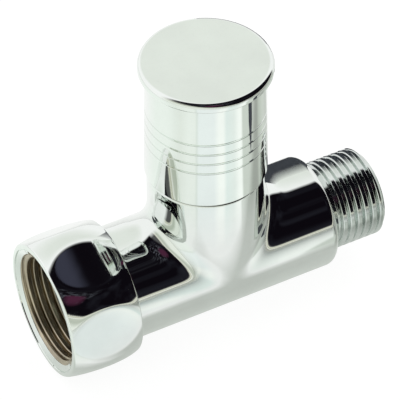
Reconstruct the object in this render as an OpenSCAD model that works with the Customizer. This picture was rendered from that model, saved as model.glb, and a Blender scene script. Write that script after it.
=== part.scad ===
// Shut-off valve with a coaxial inlet and outlet and a turning handle on a branch.
// The run lies along X. The origin is the centre of the sealing face in the inlet nut.
// The handle's axis is vertical and crosses the run's axis.

/* [Run] */
// Outer diameter of the straight run
run_d = 26.6; // [26.3:0.1:28.6]
// From the inlet's sealing face to the handle's axis
inlet_reach = 32; // [31.6:0.1:36]
// From the handle's axis to the end of the outlet thread
outlet_reach = 42.3; // [40:0.1:50]
// Diameter of the waterway at both ends
waterway_d = 15; // [12:0.1:15.4]
// Radius of the rounded shoulder in front of the outlet thread
shoulder_r = 2; // [1:0.1:3.2]
// Outer diameter of the tail that carries the nut
tail_d = 20.4; // [19.6:0.1:21]
// Free gap between the nut's rear face and the run
nut_rear_gap = 0.4; // [0.3:0.1:1.5]

/* [Outlet thread] */
// Outer diameter of the outlet thread, G 1/2
thread_d = 20.955; // [20.9:0.005:21.3]
// Pitch shared by all the pipe threads
pitch = 1.814; // [1.7:0.002:1.9]
// Depth of the pipe threads
thread_h = 1.162; // [0.9:0.002:1.2]
// Length of the outlet thread from the shoulder to the end
thread_len = 14.1; // [12:0.1:16]

/* [Nut] */
// Largest diameter of the nut's thread, G 3/4
nut_thread_d = 26.441; // [26.4:0.001:26.6]
// Size across the nut's flats
nut_flats = 32; // [31:0.1:32.6]
// Largest diameter of the crowned barrel that rounds off the nut's corners
nut_barrel_d = 34.6; // [33.6:0.1:35.3]
// Depth from the nut's mouth to the sealing face
nut_mouth_depth = 9.2; // [8.9:0.1:11]
// Thickness of the nut's rear lip
nut_lip = 3; // [2.6:0.1:5]
// Outer diameter of the nut's front face
nut_face_d = 31.6; // [29.6:0.1:32]
// Outer diameter of the nut's rear face
nut_rear_d = 31.4; // [29:0.1:32]
// Turn of the nut at rest
nut_turn = -11; // [-30:0.1:30]

/* [Nut ring and gasket] */
// Thickness of the flat gasket
gasket_t = 2; // [1.5:0.1:3]
// Outer diameter of the flat gasket
gasket_d = 23.6; // [22:0.1:23.7]
// Wire diameter of the split ring that holds the nut
ring_wire = 1.6; // [1.2:0.1:1.8]
// Depth of the ring's groove in the tail
ring_groove_h = 0.85; // [0.6:0.05:0.95]
// Angle left open in the split ring
ring_gap_deg = 22; // [10:1:60]
// Length of the tail in front of the ring's groove
tail_nose = 1.1; // [0.9:0.1:2]

/* [Branch] */
// How much smaller the branch's diameter is than the run's
branch_step = 0.2; // [0.1:0.1:0.8]
// Height of the branch's top face above the run's axis
branch_top = 26.5; // [25:0.1:30]
// Radius of the fillet between the branch and the run
fillet_r = 5; // [1.5:0.1:5.5]
// Room for water between the headwork's barrel and the chamber's wall
chamber_gap = 1.15; // [0.6:0.05:1.2]
// Height of the seat's face above the run's axis
seat_z = 1.2; // [0.8:0.1:2]
// Thickness of the wall under the seat
seat_wall = 2.4; // [1.8:0.1:3]
// Diameter of the hole in the seat
seat_hole_d = 10.6; // [8:0.1:11]
// Diameter of the passage under the seat
passage_d = 10; // [8:0.1:10.4]

/* [Handle] */
// Free gap between the headwork's flange and the handle's skirt
skirt_gap = 0.7; // [0.4:0.05:1]
// Outer diameter of the handle under the cap
handle_top_d = 26.4; // [26:0.1:28]
// Height of the handle without its cap
handle_h = 28; // [26.6:0.1:32]
// Free gap between the branch and the handle
handle_gap = 0.4; // [0.3:0.05:0.8]
// Wall of the handle's skirt
skirt_wall = 1.15; // [0.9:0.05:1.2]
// Height of the lowest groove above the handle's lower edge
groove_start = 9.5; // [6:0.1:10]
// Spacing of the grooves
groove_pitch = 2.69; // [1.5:0.01:3]
// Number of grooves
groove_count = 4; // [1:1:5]
// Width of a groove
groove_w = 0.35; // [0.2:0.05:0.6]
// Depth of a groove
groove_depth = 0.3; // [0.1:0.05:0.4]
// Thickness of the handle's inner web
web_t = 2.4; // [1.8:0.1:3]
// Depth of the recess in the handle's top
cap_recess = 3.4; // [3.2:0.1:4]
// Diameter of the recess for the cap's skirt
cap_recess_d = 22.6; // [20:0.1:22.8]
// Outer diameter of the handle's hub
hub_d = 15.4; // [14.4:0.1:17]

/* [Cap] */
// Outer diameter of the cap's disc
cap_d = 29.6; // [28.2:0.1:30.2]
// Thickness of the cap's disc
cap_t = 2.3; // [2:0.1:3]
// Rounding of the disc's upper edge
cap_round = 1.3; // [0.4:0.1:1.3]
// Rounding of the disc's lower edge
cap_under_round = 0.6; // [0.3:0.1:0.9]
// Length of the skirt that plugs into the handle
cap_skirt = 2.6; // [2.3:0.1:3]
// Wall of the cap's skirt
cap_skirt_wall = 1.8; // [1.5:0.1:2.4]
// Wire diameter of the ring that grips the cap
cap_ring_wire = 1.2; // [1:0.1:1.4]

/* [Headwork] */
// How far the headwork's thread stands out from the chamber's wall
head_thread_step = 0.25; // [0.1:0.05:0.5]
// How far the headwork's flange stands out from its thread
head_flange_out = 1.6; // [1.2:0.1:1.7]
// Thickness of the headwork's flange
head_flange_t = 2; // [1.5:0.1:2.5]
// Size across the headwork's hexagon
head_hex = 17; // [16:0.1:19]
// Height of the headwork's hexagon
head_hex_h = 7; // [5:0.1:7.5]
// Diameter of the headwork's neck
head_neck_d = 14; // [13.4:0.1:15]
// Height of the neck above the hexagon
head_neck_h = 5; // [4:0.1:5.5]
// Wall of the barrel that holds the discs
barrel_wall = 0.85; // [0.65:0.05:1.1]
// Diameter of the ceramic discs
disc_d = 16; // [15:0.1:16.2]
// Thickness of one ceramic disc
disc_t = 3; // [2.5:0.1:3.2]
// Angle of one port in a ceramic disc
port_deg = 76; // [60:1:80]
// Thickness of the washer under the flange
head_washer_t = 0.9; // [0.6:0.1:1.4]

/* [Spindle] */
// Diameter of the spindle in the neck
spindle_d = 9.9; // [9:0.1:10.3]
// Diameter over the teeth of the spindle's spline
spline_d = 8; // [7.6:0.1:8.2]
// Number of teeth on the spline
spline_teeth = 20; // [16:1:24]
// Wire diameter of the spindle's rings
o_ring_wire = 1.5; // [1.2:0.1:1.7]
// Thickness of the slip washer on the driver
slip_washer_t = 0.6; // [0.4:0.1:1]
// Outer diameter of the handle screw's thread
screw_d = 4; // [3.5:0.1:4.4]
// Length of the handle screw under its head
screw_len = 9; // [8:0.1:10]
// Turn from shut to open
quarter_turn = 90; // [80:1:92]

/* [Fits] */
// Radial clearance of a turning fit
run_clr = 0.05; // [0.02:0.01:0.08]
// Clearance between pieces of one body
fit_clr = 0.05; // [0.02:0.01:0.1]
// Clearance between two bodies that don't guide each other
free_clr = 0.3; // [0.25:0.05:0.4]

/* [Hidden] */
$fn = 96;
eps = 0.01;
cut = 1;

// Small bevels and rounds of turned edges
bevel = 0.4;
small_bevel = 0.25;
round_steps = 8;

// Stations along the run, from the sealing face
tail_end = gasket_t;
groove_x0 = tail_end + tail_nose;
ring_groove_w = ring_wire + 2 * fit_clr;
ring_x = groove_x0 + ring_groove_w / 2;
lip_x0 = ring_x + ring_wire / 2 + free_clr;
nut_rear_x = lip_x0 + nut_lip;
nut_front_x = -nut_mouth_depth;
run_x0 = nut_rear_x + nut_rear_gap;
outlet_end = inlet_reach + outlet_reach;
shoulder_x = outlet_end - thread_len;
run_r = run_d / 2;
tail_r = tail_d / 2;
ring_floor_r = tail_r - ring_groove_h;
ring_mid_r = ring_floor_r + ring_wire / 2;
waterway_r = waterway_d / 2;

// Thread form
flat_share = 0.16;
crest_w = flat_share * pitch;
root_w = flat_share * pitch;
flank_w = (pitch - crest_w - root_w) / 2;
thread_r = thread_d / 2;
thread_root_r = thread_r - thread_h;
thread_bevel = 0.9;
ridge_count = floor((thread_len - thread_bevel) / pitch);
nut_major_r = nut_thread_d / 2;
nut_minor_r = nut_major_r - thread_h;
nut_mouth_rim = 1.1;
nut_mouth_lead = 0.85;
nut_thread_lead = 1.6;
nut_ridges = floor((nut_mouth_depth - nut_thread_lead - root_w) / pitch);

// Nut
nut_barrel_r = nut_barrel_d / 2;
nut_face_r = nut_face_d / 2;
nut_mouth_r = max(nut_face_r - nut_mouth_rim, nut_major_r + small_bevel);
nut_rear_r = nut_rear_d / 2;
nut_bore_r = tail_r + run_clr;
nut_crown_steps = 20;
nut_mid_x = (nut_front_x + nut_rear_x) / 2;
nut_half_l = (nut_rear_x - nut_front_x) / 2;

// Radii from the discs outwards to the branch
branch_r = (run_d - branch_step) / 2;
disc_r = disc_d / 2;
cavity_r = disc_r + run_clr;
barrel_r = cavity_r + barrel_wall;
chamber_r = barrel_r + chamber_gap;
head_thread_r = chamber_r + head_thread_step;
head_root_r = head_thread_r - thread_h;
head_flange_r = head_thread_r + head_flange_out;

// Heights above the run's axis
seat_hole_r = seat_hole_d / 2;
passage_r = passage_d / 2;
passage_z = seat_z - seat_wall - passage_r;
inlet_wall = 1.9;
inlet_stop = inlet_reach - chamber_r - inlet_wall;
washer_z = branch_top;
flange_z = washer_z + head_washer_t;
hex_z = flange_z + head_flange_t;
neck_z = hex_z + head_hex_h;
neck_top = neck_z + head_neck_h;
head_relief = 1.6;
head_thread_len = 9.6;
thread_bore_r = head_thread_r + fit_clr;
head_thread_z = branch_top - head_relief - head_thread_len;
head_thread_room = 0.6;
thread_bore_z = head_thread_z - head_thread_room;

// Cartridge
seal_t = 2.4;
housing_step = 0.8;
housing_z = seat_z + housing_step;
fixed_z = seat_z + seal_t;
rotating_z = fixed_z + disc_t + run_clr;
driver_z = rotating_z + disc_t;
driver_h = 3.6;
driver_flange_t = 1.6;
driver_flange_z = driver_z + driver_h;
slip_z = driver_flange_z + driver_flange_t;
cavity_top = slip_z + slip_washer_t + run_clr;
slip_gap = 0.1;
barrel_top = thread_bore_z + free_clr;
outlet_start = inlet_reach + barrel_r + slip_gap;
driver_flange_r = cavity_r - run_clr - slip_gap;
port_r0 = 2.4;
port_rim = 1.6;
port_r1 = disc_r - port_rim;
tab_h = 1.2;
driver_w = 5;
tab_w = driver_w / 2;
tab_inset = [1.2, 0.2];
tab_r0 = port_r0 + tab_inset[0];
tab_r1 = port_r1 - tab_inset[1];
window_deg = 96;
window_gap = 0.3;
lug_w = 3;
lug_h = 1.4;
lug_r = barrel_r - bevel;
lug_angles = [45, 225];

// Spindle
spindle_r = spindle_d / 2;
spindle_bore_r = spindle_r + run_clr;
groove_floor_r = spindle_r - o_ring_wire;
o_ring_mid_r = groove_floor_r + o_ring_wire / 2;
o_ring_play = 0.3;
o_groove_w = o_ring_wire + o_ring_play;
o_inset = 2;
o_lower_z = flange_z + o_inset;
o_upper_z = neck_z - o_inset;
spline_r = spline_d / 2;
spline_tooth_h = 0.4;
spline_tooth = [-0.18, 0.18, 0.32, 0.68];
spline_root_r = spline_r - spline_tooth_h;
stop_t = 1.2;
stop_z = neck_top + run_clr;
clip_t = 0.8;
clip_z = stop_z + stop_t + fit_clr;
clip_depth = 0.45;
clip_reach = 0.9;
clip_floor_r = spline_root_r - clip_depth;
clip_r = spline_r + clip_reach;
clip_open_deg = 60;
stop_tab_deg = 20;
stop_ring_reach = 0.9;
stop_ring_r = spindle_bore_r + stop_ring_reach;
stop_play_deg = 1;
stop_wall_h = stop_t + free_clr;
stop_wall_r = head_neck_d / 2 - slip_gap;
stop_free_deg = quarter_turn + stop_tab_deg + 2 * stop_play_deg;

// Handle
handle_z = branch_top + handle_gap;
skirt_r = head_flange_r + skirt_gap;
handle_r = skirt_r + skirt_wall;
handle_top_r = handle_top_d / 2;
handle_top = handle_z + handle_h;
recess_z = handle_top - cap_recess;
recess_r = cap_recess_d / 2;
web_z = recess_z - web_t;
skirt_top_r = handle_top_r - skirt_wall;
hub_r = hub_d / 2;
bush_z = clip_z + clip_t + free_clr;
hub_wall = 1.7;
bush_r = hub_r - hub_wall;
spindle_top = web_z - free_clr;
web_round = 1;
key_w = 1.6;
key_h = 0.7;
key_angles = [0:90:270];
screw_r = screw_d / 2;
screw_play = 0.25;
screw_hole_r = screw_r + screw_play;
lock_washer_t = 0.8;
screw_head_t = 1.5;
screw_head_r = 3.5;
screw_slot = [4, 0.9, 0.9];
screw_tip_room = 1;
washer_split_w = 0.8;
screw_z = recess_z + lock_washer_t;

// Cap
cap_r = cap_d / 2;
cap_top = handle_top + cap_t;
cap_skirt_r = recess_r - free_clr;
cap_groove_r = recess_r - fit_clr - cap_ring_wire;
cap_ring_mid_r = cap_groove_r + cap_ring_wire / 2;
cap_ring_lip = 0.4;
cap_ring_z = handle_top - cap_skirt + cap_ring_lip + cap_ring_wire / 2;
cap_hollow = 0.8;
cap_plate = cap_t - cap_hollow;

// Colours
chrome = [0.86, 0.88, 0.87];
brass = [0.80, 0.66, 0.36];
steel = [0.68, 0.69, 0.70];
rubber_black = [0.10, 0.10, 0.11];
ceramic_white = [0.93, 0.92, 0.88];
ptfe_white = [0.95, 0.95, 0.93];
bush_grey = [0.45, 0.47, 0.48];
fibre_red = [0.55, 0.22, 0.16];

// Turns a piece made along +Z so that it lies along the run
module along_run(x = 0) {
  translate([x, 0, 0]) rotate([0, 90, 0]) children();
}

// Moves a piece to the handle's axis
module on_branch(z = 0) {
  translate([inlet_reach, 0, z]) children();
}

// Points of a quarter round from angle a0 to a1 about a centre
function arc(cx, cy, r, a0, a1, n = round_steps) =
  [for (i = [0:n]) let (a = a0 + (a1 - a0) * i / n) [cx + r * cos(a), cy + r * sin(a)]];

// Profile points of count outer thread ridges that start with a root at height z
function ridges(z, count, root_r, crest_r) =
  [for (i = [0:count - 1]) let (s = z + i * pitch) each [
    [root_r, s],
    [root_r, s + root_w],
    [crest_r, s + root_w + flank_w],
    [crest_r, s + root_w + flank_w + crest_w]
  ]];

// Profile of the whole run, tail and outlet thread as [radius, station]
ridges_x = outlet_end - thread_bevel - ridge_count * pitch + flank_w;
run_profile = concat(
  [[0, tail_end], [tail_r - bevel, tail_end], [tail_r, tail_end + bevel]],
  [[tail_r, groove_x0], [ring_floor_r, groove_x0]],
  [[ring_floor_r, groove_x0 + ring_groove_w], [tail_r, groove_x0 + ring_groove_w]],
  [[tail_r, run_x0], [run_r - bevel, run_x0], [run_r, run_x0 + bevel]],
  arc(run_r - shoulder_r, shoulder_x - shoulder_r, shoulder_r, 0, 90),
  [[thread_root_r, shoulder_x]],
  ridges(ridges_x, ridge_count, thread_root_r, thread_r),
  [[thread_root_r, outlet_end - small_bevel], [thread_root_r - small_bevel, outlet_end], [0, outlet_end]]
);

// Height where the branch's wall at angle a meets the run
function saddle_z(a, r) = sqrt(run_r * run_r - pow(r * sin(a), 2));

// One section of the fillet at angle a round the branch: the arc, then a point inside the metal
fillet_steps = 9;
fillet_turns = 90;
fillet_sink = 0.02;
fillet_root = 1.2;
function fillet_section(a) =
  let (
    ball_r = branch_r + fillet_r,
    line_r = run_r + fillet_r,
    c = [ball_r * cos(a), ball_r * sin(a), sqrt(line_r * line_r - pow(ball_r * sin(a), 2))],
    top = [-cos(a), -sin(a), 0],
    low = [0, -c[1], -c[2]] / line_r,
    sweep = acos(top * low),
    inner_r = branch_r - fillet_root
  )
  concat(
    [for (i = [0:fillet_steps])
      let (t = i / fillet_steps, d = (sin((1 - t) * sweep) * top + sin(t * sweep) * low) / sin(sweep))
      c + (fillet_r + (i == 0 || i == fillet_steps ? fillet_sink : 0)) * d],
    [[inner_r * cos(a), inner_r * sin(a), saddle_z(a, inner_r) - fillet_root]]
  );

// Closed ring of the rolling fillet between the branch and the run
module tee_fillet() {
  rows = fillet_steps + 2;
  points = [for (k = [0:fillet_turns - 1]) each fillet_section((k + 0.5) * 360 / fillet_turns)];
  faces = [for (k = [0:fillet_turns - 1], j = [0:rows - 1]) each
    let (
      a = k * rows + j,
      b = k * rows + (j + 1) % rows,
      c = ((k + 1) % fillet_turns) * rows + (j + 1) % rows,
      d = ((k + 1) % fillet_turns) * rows + j
    )
    [[a, c, b], [a, d, c]]];
  polyhedron(points = points, faces = faces, convexity = 6);
}

// Forged brass body with the tail, the branch and the outlet thread
module valve_body() {
  color(chrome) difference() {
    union() {
      along_run() rotate_extrude() polygon(run_profile);
      on_branch() cylinder(h = branch_top, r = branch_r);
      on_branch() tee_fillet();
    }
    body_waterways();
  }
}

// Inlet, passage under the seat, chamber, headwork thread and outlet
module body_waterways() {
  along_run(tail_end - cut) cylinder(h = inlet_stop - tail_end + cut, r = waterway_r);
  translate([inlet_stop - passage_r, 0, passage_z]) rotate([0, 90, 0])
    cylinder(h = inlet_reach - inlet_stop + passage_r, r = passage_r);
  on_branch(passage_z) sphere(r = passage_r);
  on_branch(passage_z) cylinder(h = seat_z - passage_z + cut, r = seat_hole_r);
  on_branch(seat_z) cylinder(h = branch_top - seat_z + cut, r = chamber_r);
  on_branch(thread_bore_z) cylinder(h = branch_top - thread_bore_z + cut, r = thread_bore_r);
  along_run(outlet_start) cylinder(h = outlet_end - outlet_start + cut, r = waterway_r);
}

// Outer form of the nut as [radius, station], with t from -1 at the front face to 1 at the rear face
nut_outside = concat(
  [[0, nut_front_x]],
  [for (i = [0:nut_crown_steps]) let (t = 2 * i / nut_crown_steps - 1, end_r = t < 0 ? nut_face_r : nut_rear_r)
    [nut_barrel_r - (nut_barrel_r - end_r) * t * t, nut_mid_x + nut_half_l * t]],
  [[0, nut_rear_x]]
);

// Inside of the nut: wide mouth chamfer, thread, relief and the hole for the tail
thread_x0 = nut_front_x + nut_thread_lead;
nut_inside = concat(
  [[0, nut_front_x - cut], [nut_mouth_r, nut_front_x - cut], [nut_mouth_r, nut_front_x],
   [nut_major_r, nut_front_x + nut_mouth_lead]],
  [for (i = [0:nut_ridges - 1]) let (s = thread_x0 + i * pitch) each [
    [nut_minor_r, s],
    [nut_minor_r, s + crest_w],
    [nut_major_r, s + crest_w + flank_w],
    [nut_major_r, s + crest_w + flank_w + root_w]
  ]],
  [[nut_major_r, lip_x0], [nut_bore_r, lip_x0], [nut_bore_r, nut_rear_x + cut], [0, nut_rear_x + cut]]
);

// Turned hexagon nut that turns on the tail behind the split ring
module union_nut() {
  color(chrome) difference() {
    intersection() {
      along_run() rotate_extrude() polygon(nut_outside);
      rotate([nut_turn, 0, 0]) along_run(nut_front_x - cut)
        cylinder(h = nut_rear_x - nut_front_x + 2 * cut, d = nut_flats / cos(30), $fn = 6);
    }
    along_run() rotate_extrude() polygon(nut_inside);
  }
}

// Split wire ring in the tail's groove
module retaining_ring() {
  color(steel) along_run(ring_x) rotate([0, 0, ring_gap_deg / 2])
    rotate_extrude(angle = 360 - ring_gap_deg) translate([ring_mid_r, 0]) circle(d = ring_wire, $fn = 32);
}

// Flat gasket on the tail's end face
module nut_gasket() {
  color(rubber_black) along_run() difference() {
    cylinder(h = gasket_t, d = gasket_d);
    translate([0, 0, -cut]) cylinder(h = gasket_t + 2 * cut, r = waterway_r + fit_clr);
  }
}

// Outer form of the headwork housing up to the flange as [radius, height]
head_ridges = floor(head_thread_len / pitch);
head_outside = concat(
  [[0, housing_z], [barrel_r, housing_z], [barrel_r, barrel_top], [head_root_r, barrel_top + small_bevel]],
  ridges(head_thread_z, head_ridges, head_root_r, head_thread_r),
  [[head_root_r, head_thread_z + head_ridges * pitch + flank_w], [head_root_r, flange_z], [head_flange_r, flange_z]],
  [[head_flange_r, hex_z - small_bevel], [head_flange_r - small_bevel, hex_z], [0, hex_z]]
);

// Brass housing of the headwork
module headwork_housing() {
  color(brass) on_branch() difference() {
    union() {
      rotate_extrude() polygon(head_outside);
      housing_hexagon();
      translate([0, 0, neck_z - eps]) cylinder(h = head_neck_h + eps, d = head_neck_d);
      translate([0, 0, neck_top]) stop_wall();
    }
    translate([0, 0, housing_z - cut]) cylinder(h = cavity_top - housing_z + cut, r = cavity_r);
    translate([0, 0, cavity_top - eps]) cylinder(h = neck_top + stop_wall_h - cavity_top + cut, r = spindle_bore_r);
    housing_windows();
    housing_lug_slots();
  }
}

// Hexagon for the key, with turned corners
module housing_hexagon() {
  intersection() {
    translate([0, 0, hex_z - eps]) cylinder(h = head_hex_h + eps, d = head_hex / cos(30), $fn = 6);
    rotate_extrude() polygon([
      [0, hex_z - cut], [head_hex, hex_z - cut], [head_hex, neck_z - head_hex / 2],
      [head_hex / 2 + small_bevel, neck_z], [0, neck_z]
    ]);
  }
}

// Raised wall on the neck that stops the turn at both ends
module stop_wall() {
  rotate([0, 0, stop_tab_deg / 2 + quarter_turn + stop_play_deg])
    rotate_extrude(angle = 360 - stop_free_deg)
      translate([stop_ring_r + free_clr, -cut]) square([stop_wall_r - stop_ring_r - free_clr, stop_wall_h + cut]);
}

// Two side windows where the water leaves the discs
module housing_windows() {
  for (side = [0, 180])
    rotate([0, 0, side - window_deg / 2]) translate([0, 0, driver_z + window_gap])
      rotate_extrude(angle = window_deg)
        translate([cavity_r - cut, 0]) square([barrel_r - cavity_r + 2 * cut, driver_h - 2 * window_gap]);
}

// Slots that keep the fixed disc from turning
module housing_lug_slots() {
  for (side = lug_angles)
    rotate([0, 0, side]) translate([cavity_r - cut, -lug_w / 2 - fit_clr, housing_z - cut])
      cube([barrel_r - cavity_r + 2 * cut, lug_w + 2 * fit_clr, fixed_z + lug_h + fit_clr - housing_z + cut]);
}

// Thin fibre washer between the branch and the headwork's flange
module headwork_washer() {
  color(fibre_red) on_branch(washer_z) difference() {
    cylinder(h = head_washer_t, r = head_flange_r);
    translate([0, 0, -cut]) cylinder(h = head_washer_t + 2 * cut, r = head_thread_r);
  }
}

// Rubber ring that seals the discs on the seat
module seat_seal() {
  color(rubber_black) on_branch(seat_z) difference() {
    cylinder(h = seal_t, r = disc_r - small_bevel);
    translate([0, 0, -cut]) cylinder(h = seal_t + 2 * cut, r = seat_hole_r + small_bevel);
  }
}

// Two opposite ports of a ceramic disc
module disc_ports() {
  for (side = [0, 180])
    rotate([0, 0, side - port_deg / 2]) translate([0, 0, -cut])
      rotate_extrude(angle = port_deg) translate([port_r0, 0]) square([port_r1 - port_r0, disc_t + 2 * cut]);
}

// Lower ceramic disc, held by two lugs
module fixed_disc() {
  color(ceramic_white) on_branch(fixed_z) difference() {
    union() {
      cylinder(h = disc_t, r = disc_r);
      for (side = lug_angles)
        rotate([0, 0, side]) translate([disc_r - cut, -lug_w / 2, 0]) cube([lug_r - disc_r + cut, lug_w, lug_h]);
    }
    disc_ports();
  }
}

// Upper ceramic disc, turned by the spindle's driver
module rotating_disc() {
  color(ceramic_white) on_branch(rotating_z) difference() {
    cylinder(h = disc_t, r = disc_r - free_clr / 2);
    rotate([0, 0, 90]) disc_ports();
    driver_tabs(fit_clr);
  }
}

// Two tabs of the driver, or with a clearance the slots that they fit
module driver_tabs(clr = 0) {
  for (side = [0, 180])
    rotate([0, 0, side]) translate([tab_r0 - clr, -tab_w / 2 - clr, disc_t - tab_h - clr])
      cube([tab_r1 - tab_r0 + 2 * clr, tab_w + 2 * clr, tab_h + clr + (clr > 0 ? cut : eps)]);
}

// Star outline of the spline, grown by a clearance
module spline_outline(clr = 0) {
  polygon([for (i = [0:spline_teeth - 1], k = [0:3])
    let (r = (k < 2 ? spline_r : spline_root_r) + clr, a = (i + spline_tooth[k]) * 360 / spline_teeth)
    [r * cos(a), r * sin(a)]]);
}

// Spindle with the driver at its foot, two ring grooves and the spline
module spindle() {
  color(brass) on_branch() difference() {
    union() {
      translate([0, 0, rotating_z]) driver_tabs();
      translate([0, 0, driver_z]) intersection() {
        translate([-disc_r, -driver_w / 2, 0]) cube([2 * disc_r, driver_w, driver_h + eps]);
        cylinder(h = driver_h + eps, r = port_r1);
      }
      translate([0, 0, driver_flange_z]) cylinder(h = driver_flange_t, r = driver_flange_r);
      translate([0, 0, slip_z - eps]) cylinder(h = neck_top - slip_z + eps, r = spindle_r);
      translate([0, 0, neck_top - eps]) linear_extrude(spindle_top - neck_top + eps) spline_outline();
    }
    for (z = [o_lower_z, o_upper_z]) translate([0, 0, z - o_groove_w / 2]) ring_cut(o_groove_w, groove_floor_r);
    translate([0, 0, clip_z - fit_clr]) ring_cut(clip_t + 2 * fit_clr, clip_floor_r);
    translate([0, 0, screw_z - screw_len - screw_tip_room]) cylinder(h = screw_len, r = screw_r + fit_clr);
  }
}

// Square groove of width w down to radius r
module ring_cut(w, r) {
  difference() {
    cylinder(h = w, r = spindle_r + cut);
    translate([0, 0, -cut]) cylinder(h = w + 2 * cut, r = r);
  }
}

// Slippery washer between the driver and the housing
module slip_washer() {
  color(ptfe_white) on_branch(slip_z) difference() {
    cylinder(h = slip_washer_t, r = driver_flange_r);
    translate([0, 0, -cut]) cylinder(h = slip_washer_t + 2 * cut, r = spindle_r + fit_clr);
  }
}

// Rubber ring in a groove of the spindle
module spindle_ring(z) {
  color(rubber_black) on_branch(z) rotate_extrude() translate([o_ring_mid_r, 0]) circle(d = o_ring_wire, $fn = 32);
}

module spindle_ring_lower() {
  spindle_ring(o_lower_z);
}

module spindle_ring_upper() {
  spindle_ring(o_upper_z);
}

// Toothed ring whose tab runs against the stop wall
module stop_ring() {
  color(steel) on_branch(stop_z) difference() {
    union() {
      cylinder(h = stop_t, r = stop_ring_r);
      rotate([0, 0, -stop_tab_deg / 2]) rotate_extrude(angle = stop_tab_deg)
        translate([stop_ring_r - cut, 0]) square([head_neck_d / 2 - stop_ring_r + cut, stop_t]);
    }
    translate([0, 0, -cut]) linear_extrude(stop_t + 2 * cut) spline_outline(fit_clr);
  }
}

// Open clip in the spindle's upper groove
module spindle_clip() {
  color(steel) on_branch(clip_z) rotate([0, 0, clip_open_deg / 2]) rotate_extrude(angle = 360 - clip_open_deg)
    translate([clip_floor_r + fit_clr, 0]) square([clip_r - clip_floor_r - fit_clr, clip_t]);
}

// Toothed bush between the spline and the handle's hub
module spline_bush() {
  color(bush_grey) on_branch(bush_z) difference() {
    union() {
      cylinder(h = web_z - bush_z, r = bush_r);
      for (a = key_angles)
        rotate([0, 0, a]) translate([bush_r - cut, -key_w / 2, 0]) cube([key_h + cut, key_w, web_z - bush_z]);
    }
    translate([0, 0, -cut]) linear_extrude(web_z - bush_z + 2 * cut) spline_outline(fit_clr);
  }
}

// Outside of the handle with its grooves as [radius, height]
function handle_wall(z) = handle_r + (handle_top_r - handle_r) * (z - handle_z) / handle_h;
handle_outside = concat(
  [[0, handle_z], [handle_r - small_bevel, handle_z], [handle_r, handle_z + small_bevel]],
  [for (i = [0:groove_count - 1]) let (z = handle_z + groove_start + i * groove_pitch) each [
    [handle_wall(z - groove_w / 2), z - groove_w / 2],
    [handle_wall(z) - groove_depth, z],
    [handle_wall(z + groove_w / 2), z + groove_w / 2]
  ]],
  [[handle_top_r, handle_top], [0, handle_top]]
);

// Die-cast handle: a skirt over the headwork, a hub for the bush and a recess for the cap
module handle() {
  color(chrome) on_branch() difference() {
    rotate_extrude() polygon(handle_outside);
    difference() {
      rotate_extrude() polygon([
        [0, handle_z - cut], [skirt_r, handle_z - cut], [skirt_r, handle_z],
        [skirt_top_r, web_z - web_round], [skirt_top_r - web_round, web_z], [0, web_z]
      ]);
      translate([0, 0, bush_z]) cylinder(h = handle_h, r = hub_r);
    }
    translate([0, 0, bush_z - cut]) cylinder(h = web_z - bush_z + cut, r = bush_r + fit_clr);
    for (a = key_angles)
      rotate([0, 0, a]) translate([bush_r - cut, -key_w / 2 - fit_clr, bush_z - cut])
        cube([key_h + cut + fit_clr, key_w + 2 * fit_clr, web_z - bush_z + cut]);
    translate([0, 0, web_z - cut]) cylinder(h = web_t + 2 * cut, r = screw_hole_r);
    translate([0, 0, recess_z]) cylinder(h = cap_recess + cut, r = recess_r);
  }
}

// Spring washer under the screw's head
module screw_washer() {
  color(steel) on_branch(recess_z) difference() {
    cylinder(h = lock_washer_t, r = screw_head_r);
    translate([0, 0, -cut]) cylinder(h = lock_washer_t + 2 * cut, r = screw_hole_r);
    translate([0, -washer_split_w / 2, -cut]) cube([screw_head_r + cut, washer_split_w, lock_washer_t + 2 * cut]);
  }
}

// Pan-head screw that holds the handle on the spindle
module handle_screw() {
  color(steel) on_branch(screw_z) difference() {
    union() {
      translate([0, 0, -screw_len]) cylinder(h = screw_len + eps, r = screw_r);
      rotate_extrude() polygon([
        [0, 0], [screw_head_r, 0], [screw_head_r, screw_head_t - bevel],
        [screw_head_r - bevel, screw_head_t], [0, screw_head_t]
      ]);
    }
    for (a = [0, 90])
      rotate([0, 0, a]) translate([-screw_slot[0] / 2, -screw_slot[1] / 2, screw_head_t - screw_slot[2]])
        cube([screw_slot[0], screw_slot[1], screw_slot[2] + cut]);
  }
}

// Rubber ring that grips the cap's skirt in the handle
module cap_ring() {
  color(rubber_black) on_branch(cap_ring_z) rotate_extrude()
    translate([cap_ring_mid_r, 0]) circle(d = cap_ring_wire, $fn = 32);
}

// Outside of the cap with its rounded rim as [radius, height]
cap_outside = concat(
  [[cap_skirt_r, handle_top - cap_skirt + small_bevel], [cap_skirt_r, cap_ring_z - cap_ring_wire / 2 - fit_clr]],
  [[cap_groove_r, cap_ring_z - cap_ring_wire / 2 - fit_clr], [cap_groove_r, cap_ring_z + cap_ring_wire / 2 + fit_clr]],
  [[cap_skirt_r, cap_ring_z + cap_ring_wire / 2 + fit_clr], [cap_skirt_r, handle_top]],
  arc(cap_r - cap_under_round, handle_top + cap_under_round, cap_under_round, -90, 0),
  arc(cap_r - cap_round, cap_top - cap_round, cap_round, 0, 90),
  [[0, cap_top], [0, cap_top - cap_plate], [cap_skirt_r - cap_skirt_wall, cap_top - cap_plate]],
  [[cap_skirt_r - cap_skirt_wall, handle_top - cap_skirt], [cap_skirt_r - small_bevel, handle_top - cap_skirt]]
);

// Blank cap that hides the screw
module handle_cap() {
  color(chrome) on_branch() rotate_extrude() polygon(cap_outside);
}

valve_body();
union_nut();
retaining_ring();
nut_gasket();
headwork_housing();
headwork_washer();
seat_seal();
fixed_disc();
rotating_disc();
spindle();
slip_washer();
spindle_ring_lower();
spindle_ring_upper();
stop_ring();
spindle_clip();
spline_bush();
handle();
screw_washer();
handle_screw();
cap_ring();
handle_cap();
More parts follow.
